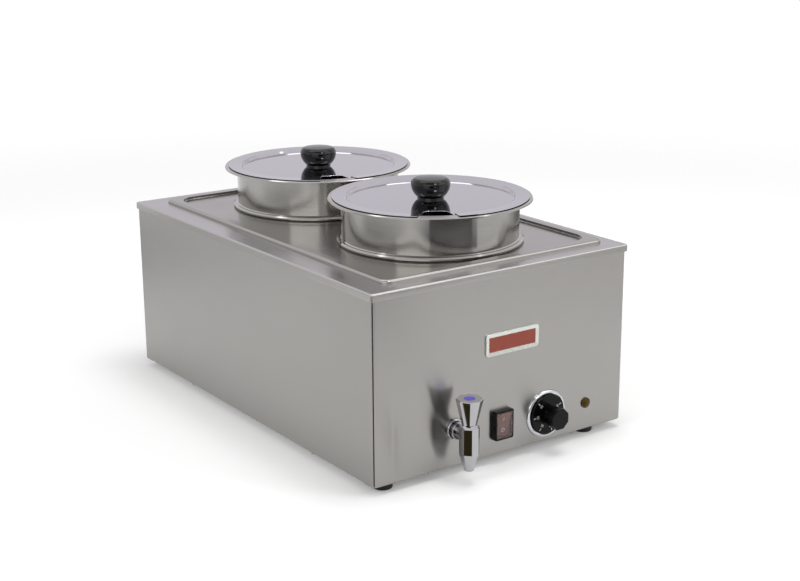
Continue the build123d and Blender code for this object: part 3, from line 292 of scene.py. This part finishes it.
def roundedPlate(width, height, corner, thick):
    shape = bmesh.new()
    bmesh.ops.create_grid(shape, x_segments=1, y_segments=1, size=0.5)
    bmesh.ops.scale(shape, vec=(width, height, 1), verts=shape.verts)
    bmesh.ops.bevel(shape, geom=shape.verts[:], affect="VERTICES", offset=corner, segments=plate["cornerSteps"],
                    profile=0.5, material=-1)
    top = bmesh.ops.extrude_face_region(shape, geom=shape.faces[:])
    bmesh.ops.translate(shape, vec=(0, 0, thick), verts=vertsOf(top))
    bmesh.ops.recalc_face_normals(shape, faces=shape.faces[:])
    return shape


plateFrame = roundedPlate(plate["width"], plate["height"], plate["corner"], plate["thick"])
faceTop = max(plateFrame.faces, key=lambda f: f.calc_center_median().z)
bmesh.ops.inset_region(plateFrame, faces=[faceTop], thickness=plate["rim"], use_even_offset=True)
bmesh.ops.translate(plateFrame, vec=(0, 0, -plate["sunk"]), verts=faceTop.verts[:])
rimEdges = [e for e in plateFrame.edges
            if all(abs(v.co.z - plate["thick"]) < plate["rimWithin"] for v in e.verts)]
bmesh.ops.bevel(plateFrame, geom=rimEdges, affect="EDGES", offset=plate["rimRound"], segments=plate["rimSteps"],
                profile=0.5, material=-1)
setOnFront(plateFrame, plate["centre"])
addPiece("plate_frame", meshFrom(plateFrame, "plate_frame"), castAluminium, "housing")

fieldInset = 2 * (plate["rim"] + plate["fieldPlay"])
enamelField = roundedPlate(plate["width"] - fieldInset, plate["height"] - fieldInset,
                           plate["fieldCorner"], plate["fieldThick"])
x, y, z = plate["centre"]
setOnFront(enamelField, (x, y - plate["thick"] + plate["sunk"], z))
addPiece("plate_enamel", meshFrom(enamelField, "plate_enamel"), redEnamel, "housing")
print("bare plate done")

# Printed marks on the dial face: ticks with their numbers, all turning with the dial. Lengths in mm.
dial = {"centre": (62.5, 44.5), "proud": 5.2, "first": 133, "step": 51,
        "numbers": ("40", "50", "60", "70", "80", "90"), "numberAt": 15.4, "size": 4.6,
        "tickFrom": 18.6, "tickTo": 22.4, "tickWide": 0.9, "thick": 0.08}
whitePrint = moulded("white_print", {  # flat ink
    "colour": "#d8d8d8", "dark": "#c8c8c8", "grit": 0.4, "cloud": 3,
    "roughness": (0.4, 0.55), "bump": 0.02, "ior": 1.5})


def curveMesh(curve):
    holder = addObject("curve", curve)
    bpy.context.view_layer.update()
    mesh = bpy.data.meshes.new_from_object(holder.evaluated_get(bpy.context.evaluated_depsgraph_get()))
    bpy.data.objects.remove(holder)
    return mesh


def addWords(shape, words, size, thick, place):
    curve = bpy.data.curves.new("words", "FONT")
    curve.body = words
    curve.size = size
    curve.extrude = thick / 2
    curve.align_x = "CENTER"
    curve.align_y = "CENTER"
    mesh = curveMesh(curve)
    mesh.transform(place)
    shape.from_mesh(mesh)
    bpy.data.meshes.remove(mesh)


marks = bmesh.new()
for index, number in enumerate(dial["numbers"]):
    angle = radians(dial["first"] + dial["step"] * index)
    tick = bmesh.ops.create_cube(marks, size=1)["verts"]
    bmesh.ops.scale(marks, vec=(dial["tickTo"] - dial["tickFrom"], dial["tickWide"], dial["thick"]), verts=tick)
    bmesh.ops.translate(marks, vec=((dial["tickFrom"] + dial["tickTo"]) / 2, 0, 0), verts=tick)
    bmesh.ops.rotate(marks, cent=(0, 0, 0), matrix=Matrix.Rotation(angle, 3, "Z"), verts=tick)
    spot = Matrix.Translation((dial["numberAt"] * cos(angle), dial["numberAt"] * sin(angle), 0))
    addWords(marks, number, dial["size"], dial["thick"], spot @ Matrix.Rotation(angle - pi / 2, 4, "Z"))
setOnFront(marks, (dial["centre"][0], panelFace - dial["proud"], dial["centre"][1]))
addPiece("dial_marks", meshFrom(marks, "dial_marks"), whitePrint, "dial")
print("dial marks done")

# On and off marks printed on the rocker, each laid on the face that a sight line from the front meets, in mm.
rocker = {"size": 7.0, "thick": 0.06, "off": 0.03, "sightFrom": 10,
          "marks": (("I", 0.27), ("O", 0.73))}  # with the share of the way down
rockerLow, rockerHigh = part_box("switch_rocker")
prints = bmesh.new()
for words, share in rocker["marks"]:
    start = Vector(((rockerLow[0] + rockerHigh[0]) / 2, rockerLow[1] - rocker["sightFrom"] * mm,
                    rockerHigh[2] + (rockerLow[2] - rockerHigh[2]) * share))
    spot, outward = nodes["switch_rocker"].ray_cast(start, Vector((0, 1, 0)))[1:3]
    addWords(prints, words, rocker["size"] * mm, rocker["thick"] * mm,
             facing(spot + outward * rocker["off"] * mm, outward))
addPiece("rocker_marks", meshFrom(prints, "rocker_marks"), whitePrint, "rocker")
print("rocker marks done")

# Smoothed cut of each ladle notch: a fine bead along the edge of the sheet, read from the lid's own cut.
# Lengths in mm; upright and level are the slants of the cut's wall and of the sheet beside it.
notchBead = {"wire": 0.42, "sink": 0.4, "inside": 1.0, "clearOfScrew": 30, "merge": 0.001, "roundSteps": 2,
             "upright": 0.2, "level": 0.4}


def isNotchCut(edge, axis, reach):
    slants = sorted(face.normal.z for face in edge.link_faces)
    away = [(vert.co.to_2d() - axis).length for vert in edge.verts]
    if len(slants) != 2 or max(away) > reach or min(away) < notchBead["clearOfScrew"] * mm:
        return False
    return abs(slants[0]) < notchBead["upright"] and slants[1] > notchBead["level"]


def cutPath(cuts):  # the vertices of the cut in order, from one end to the other
    ends = [vert for edge in cuts for vert in edge.verts if sum(other in cuts for other in vert.link_edges) == 1]
    path = [ends[0]]
    while True:
        onward = [edge.other_vert(path[-1]) for edge in path[-1].link_edges if edge in cuts]
        onward = [vert for vert in onward if vert not in path]
        if not onward:
            return path
        path.append(onward[0])


def beadMesh(lidName):
    low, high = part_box(lidName)
    reach = (high[0] - low[0]) / 2 - notchBead["inside"] * mm
    axis = Vector(spinAxes[lidName])
    lid = bmesh.new()
    lid.from_mesh(nodes[lidName].data)
    bmesh.ops.remove_doubles(lid, verts=lid.verts, dist=notchBead["merge"] * mm)
    path = cutPath([edge for edge in lid.edges if isNotchCut(edge, axis, reach)])
    bead = bpy.data.curves.new("bead", "CURVE")
    bead.dimensions = "3D"
    bead.bevel_depth = notchBead["wire"] * mm
    bead.bevel_resolution = notchBead["roundSteps"]
    run = bead.splines.new("POLY")
    run.points.add(len(path) - 1)
    for point, vert in zip(run.points, path):
        point.co = (vert.co.x, vert.co.y, vert.co.z - notchBead["sink"] * mm, 1)
    lid.free()
    return curveMesh(bead)


for lidName in ("front_lid", "rear_lid"):
    addPiece(lidName + "_notch_bead", beadMesh(lidName), finishes[lidName], lidName)
print("notch beads done")

# Studio, in metres: a pale floor that fades out, soft lamps and a white surround.
studio = {"floor": "#f2f2f2", "matt": 0.9, "radius": 3.0, "sides": 64, "fadeFrom": 1.1, "fadeTo": 2.2,
          "lift": (0.18, 0.28), "liftFrom": 0.3, "liftTo": 0.9, "surround": 0.55,
          "lamps": [{"name": "overhead", "place": (0.2, -0.2, 2.3), "aim": (0, 0, 0.1), "size": 0.9, "watts": 20},
                    {"name": "frontRight", "place": (1.5, -2.0, 1.5), "aim": (0, 0, 0.15), "size": 0.8, "watts": 12},
                    {"name": "leftSide", "place": (-2.2, -0.3, 1.5), "aim": (-0.3, 0, 0), "size": 0.9, "watts": 12}]}


def seenRays(tree):  # 1 for rays that show the studio: camera, reflection and refraction
    rays = addNode(tree, "ShaderNodeLightPath", {})
    direct = addNode(tree, "ShaderNodeMath", {
        "operation": "ADD", 0: rays.outputs["Is Camera Ray"], 1: rays.outputs["Is Glossy Ray"]})
    both = addNode(tree, "ShaderNodeMath", {
        "operation": "ADD", "use_clamp": True, 0: direct.outputs[0], 1: rays.outputs["Is Transmission Ray"]})
    return both.outputs[0]


# Matt paper: pale, lifted towards white by a glow that is weaker near the object, a painted shade round its foot.
def floorPaper():
    material, tree, shader, place = startMaterial("matt_floor_paper", studio["floor"], studio["matt"])
    shader.inputs["Specular IOR Level"].default_value = 0.0
    shader.inputs["Emission Color"].default_value = linear(studio["floor"])
    reach = addNode(tree, "ShaderNodeVectorMath", {"operation": "LENGTH", 0: place})
    # painted shade: the glow is least near the object and grows to full away from it
    away = addNode(tree, "ShaderNodeMapRange", {
        "interpolation_type": "SMOOTHSTEP", "Value": reach.outputs["Value"], "From Min": studio["liftFrom"],
        "From Max": studio["liftTo"], "To Min": studio["lift"][0], "To Max": studio["lift"][1]})
    lift = addNode(tree, "ShaderNodeMath", {"operation": "MULTIPLY", 0: seenRays(tree), 1: away.outputs[0]})
    tree.links.new(lift.outputs[0], shader.inputs["Emission Strength"])
    fade = addNode(tree, "ShaderNodeMapRange", {
        "interpolation_type": "SMOOTHSTEP", "Value": reach.outputs["Value"],
        "From Min": studio["fadeFrom"], "From Max": studio["fadeTo"]})
    through = addNode(tree, "ShaderNodeBsdfTransparent", {})
    blendOut = addNode(tree, "ShaderNodeMixShader", {
        0: fade.outputs[0], 1: shader.outputs[0], 2: through.outputs[0]})
    tree.links.new(blendOut.outputs[0], tree.nodes["Material Output"].inputs[0])
    return material


disc = bmesh.new()
bmesh.ops.create_circle(disc, cap_ends=True, segments=studio["sides"], radius=studio["radius"])
floor = addObject("studio_floor", meshFrom(disc, "studio_floor"))
floor.data.materials.append(floorPaper())

world = bpy.data.worlds.new("studio")
scene.world = world
world.use_nodes = True
level = addNode(world.node_tree, "ShaderNodeMapRange", {
    "Value": seenRays(world.node_tree), "To Min": studio["surround"], "To Max": 1.0})
sky = world.node_tree.nodes["Background"]
sky.inputs["Color"].default_value = (1, 1, 1, 1)
world.node_tree.links.new(level.outputs[0], sky.inputs["Strength"])

for lamp in studio["lamps"]:
    light = bpy.data.lights.new(lamp["name"], "AREA")
    light.shape = "SQUARE"
    light.size = lamp["size"]
    light.energy = lamp["watts"]
    holder = addObject(lamp["name"], light)
    holder.visible_glossy = False
    holder.matrix_world = facing(lamp["place"], Vector(lamp["aim"]) - Vector(lamp["place"]), "-Z")
print("floor, surround and lamps done")

# Cards round the set that only reflections see, in metres.
cards = [
    {"name": "backCard", "place": (1.27, 1.80, 1.0), "aim": (0, 0, 0.25), "wide": 2.8, "tall": 1.5,
     "colour": "#e7e4ea", "strength": 1.0},  # what the lids and the deck mirror
    {"name": "roofCard", "place": (-0.85, -1.2, 1.9), "aim": (0, 0, 0.29), "wide": 1.3, "tall": 0.8,
     "colour": "#8a8780", "strength": 1.0},
    {"name": "ceilingCard", "place": (0.11, 0.05, 1.85), "aim": (0.14, 0.095, 0.29), "wide": 2.4, "tall": 0.45,
     "colour": "#ffffff", "strength": 4.0},  # glints on rims, bends and seat rings
    {"name": "lowWindow", "place": (-1.749, -1.224, 0.8), "aim": (0, 0, 0.25), "wide": 1.6, "tall": 0.55,
     "colour": "#ffffff", "strength": 2.2},
    {"name": "windowCard", "place": (-0.13, -1.68, 1.52), "aim": (0, -0.1, 0.29), "wide": 0.45, "tall": 0.28,
     "colour": "#ffffff", "strength": 18.0},  # the small bright light in the knobs
    {"name": "sideCard", "place": (1.5, -2.0, 1.5), "aim": (0, 0, 0.15), "wide": 2.0, "tall": 1.4,
     "colour": "#ffffff", "strength": 2.1},
    {"name": "streakCard", "place": (-0.164, -0.997, 0.2), "aim": (0.008, -0.114, 0.2), "wide": 0.9, "tall": 0.2,
     "colour": "#2e2e2c", "strength": 1.0},
    {"name": "tapCard", "place": (-0.1188, -0.3304, 0.034), "aim": (-0.0737, -0.299, 0.034),
     "wide": 0.05, "tall": 0.056, "colour": "#3a3520", "strength": 1.0},  # dark facets of the tap
    {"name": "potCard", "place": (-0.8, -0.36, 0.003), "aim": (-0.8, -0.36, 1), "wide": 0.22, "tall": 0.6,
     "turn": -148, "colour": "#ffffff", "strength": 1.0},
]


def glowMaterial(name, colour, strength):
    material = bpy.data.materials.new(name)
    material.use_nodes = True
    tree = material.node_tree
    tree.nodes.remove(tree.nodes["Principled BSDF"])
    glow = addNode(tree, "ShaderNodeEmission", {"Color": linear(colour), "Strength": strength})
    tree.links.new(glow.outputs[0], tree.nodes["Material Output"].inputs[0])
    return material, tree, glow


def addCard(name, shape, material):
    card = addObject(name, meshFrom(shape, name))
    card.data.materials.append(material)
    card.visible_camera = False
    card.visible_diffuse = False
    card.visible_transmission = False
    card.visible_shadow = False


for card in cards:
    shape = bmesh.new()
    bmesh.ops.create_grid(shape, x_segments=1, y_segments=1, size=0.5)
    bmesh.ops.scale(shape, vec=(card["wide"], card["tall"], 1), verts=shape.verts)
    bmesh.ops.rotate(shape, matrix=Matrix.Rotation(radians(card.get("turn", 0)), 3, "Z"), verts=shape.verts)
    turned = facing(card["place"], Vector(card["aim"]) - Vector(card["place"]))
    bmesh.ops.transform(shape, matrix=turned, verts=shape.verts)
    addCard(card["name"], shape, glowMaterial("matt_" + card["name"], card["colour"], card["strength"])[0])

# A low curved strip about the front pot. Its stops are degrees round from the way it faces, with the brightness
# there, so that the spun walls show upright streaks.
wall = {"radius": 0.9, "sides": 180, "low": 0.001, "high": 0.115, "faces": -124.2, "brightest": 3.0,
        "stops": ((-180, 0.13), (-163, 0.13), (-134, 0.38), (-119, 0.72), (-100, 0.88), (-85, 0.4), (-68, 0.31),
                  (-53, 0.43), (-39, 0.54), (-26, 0.85), (-15, 0.55), (-6, 0.15), (0, 0.05), (13, 0.04), (40, 0.05),
                  (50, 0.06), (55.5, 0.05), (56.5, 0.72), (85, 0.82), (104, 0.95), (117, 0.56), (134, 0.2),
                  (150, 0.16), (180, 0.13))}
wallX, wallY = spinAxes["front_pot"]


def wallGlow():
    material, tree, glow = glowMaterial("matt_wall_strip", "#ffffff", 1.0)
    coords = addNode(tree, "ShaderNodeTexCoord", {})
    middle = addNode(tree, "ShaderNodeMapping", {
        "Vector": coords.outputs["Object"], "Location": (-wallX, -wallY, 0)})
    turned = addNode(tree, "ShaderNodeMapping", {
        "Vector": middle.outputs[0], "Rotation": (0, 0, radians(-wall["faces"]))})
    parts = addNode(tree, "ShaderNodeSeparateXYZ", {"Vector": turned.outputs[0]})
    angle = addNode(tree, "ShaderNodeMath", {"operation": "ARCTAN2", 0: parts.outputs[1], 1: parts.outputs[0]})
    share = addNode(tree, "ShaderNodeMapRange", {"Value": angle.outputs[0], "From Min": -pi, "From Max": pi})
    curve = addNode(tree, "ShaderNodeFloatCurve", {"Value": share.outputs[0]})
    curve.mapping.clip_max_y = wall["brightest"]
    points = curve.mapping.curves[0].points
    for stop, brightness in wall["stops"][1:-1]:
        points.new((stop + 180) / 360, brightness)
    points[0].location = (0, wall["stops"][0][1])
    points[-1].location = (1, wall["stops"][-1][1])
    for point in points:
        point.handle_type = "VECTOR"
    curve.mapping.update()
    tree.links.new(curve.outputs[0], glow.inputs["Strength"])
    return material


strip = bmesh.new()
bmesh.ops.create_circle(strip, segments=wall["sides"], radius=wall["radius"])
bmesh.ops.translate(strip, vec=(wallX, wallY, wall["low"]), verts=strip.verts)
upper = bmesh.ops.extrude_edge_only(strip, edges=strip.edges[:])
bmesh.ops.translate(strip, vec=(0, 0, wall["high"] - wall["low"]), verts=vertsOf(upper))
addCard("wall_strip", strip, wallGlow())
print("cards and wall strip done")

cameraLook = {"place": (-1.0290, panelFace * mm - 1.24675, 0.6689), "azimuth": -35.2254, "elevation": 15.9603,
              "roll": -0.3401, "lens": 66.271, "sensor": 36}
camera = addObject("camera", bpy.data.cameras.new("camera"))
camera.data.sensor_fit = "HORIZONTAL"
camera.data.sensor_width = cameraLook["sensor"]
camera.data.lens = cameraLook["lens"]
camera.matrix_world = (Matrix.Translation(cameraLook["place"])
                       @ Matrix.Rotation(radians(cameraLook["azimuth"]), 4, "Z")
                       @ Matrix.Rotation(pi / 2 - radians(cameraLook["elevation"]), 4, "X")
                       @ Matrix.Rotation(radians(cameraLook["roll"]), 4, "Z"))
scene.camera = camera
scene.view_settings.view_transform = "Standard"
